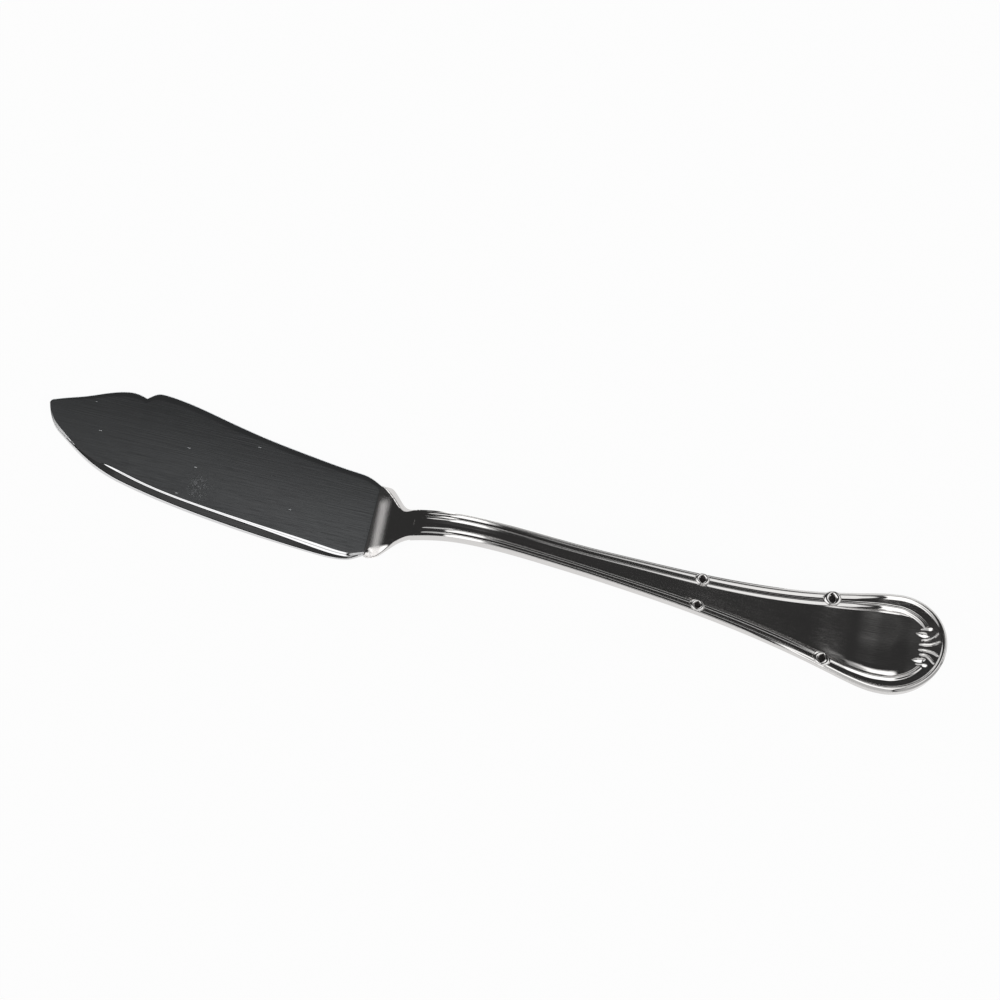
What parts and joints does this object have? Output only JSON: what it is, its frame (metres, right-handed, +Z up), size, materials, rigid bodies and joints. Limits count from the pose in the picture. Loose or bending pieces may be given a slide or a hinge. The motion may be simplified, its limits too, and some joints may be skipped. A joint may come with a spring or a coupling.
{
  "type": "fish knife",
  "caption": "Polished steel fish knife: broad flat blade with a notched spine and stepped edge, arched shank, reed and ribbon bordered handle with a fan end.",
  "frame": {"origin": "centre of the knife's bounding box on the table surface it lies on", "axes": "+X from the blade tip to the handle end, +Y towards the blade's spine so the cutting edge faces -Y, +Z up out of the decorated face"},
  "size_m": [0.2, 0.0298, 0.0116],
  "materials": {
    "blade_polish": "mirror polished with faint lengthwise grinding lines",
    "edge_polish": "ground and polished",
    "shank_polish": "mirror polished",
    "handle_polish": "mirror polished with faint lengthwise lines",
    "ornament_polish": "mirror polished relief"
  },
  "bodies": {
    "root": {"blade": "blade_polish", "cutting_edge": "edge_polish", "neck": "shank_polish", "handle": "handle_polish", "outer_reed": "ornament_polish", "inner_reeds": "ornament_polish", "ribbon_ties": "ornament_polish", "fan_ridges": "ornament_polish", "fan_petals": "ornament_polish", "end_curls": "ornament_polish"}
  },
  "joints": []
}
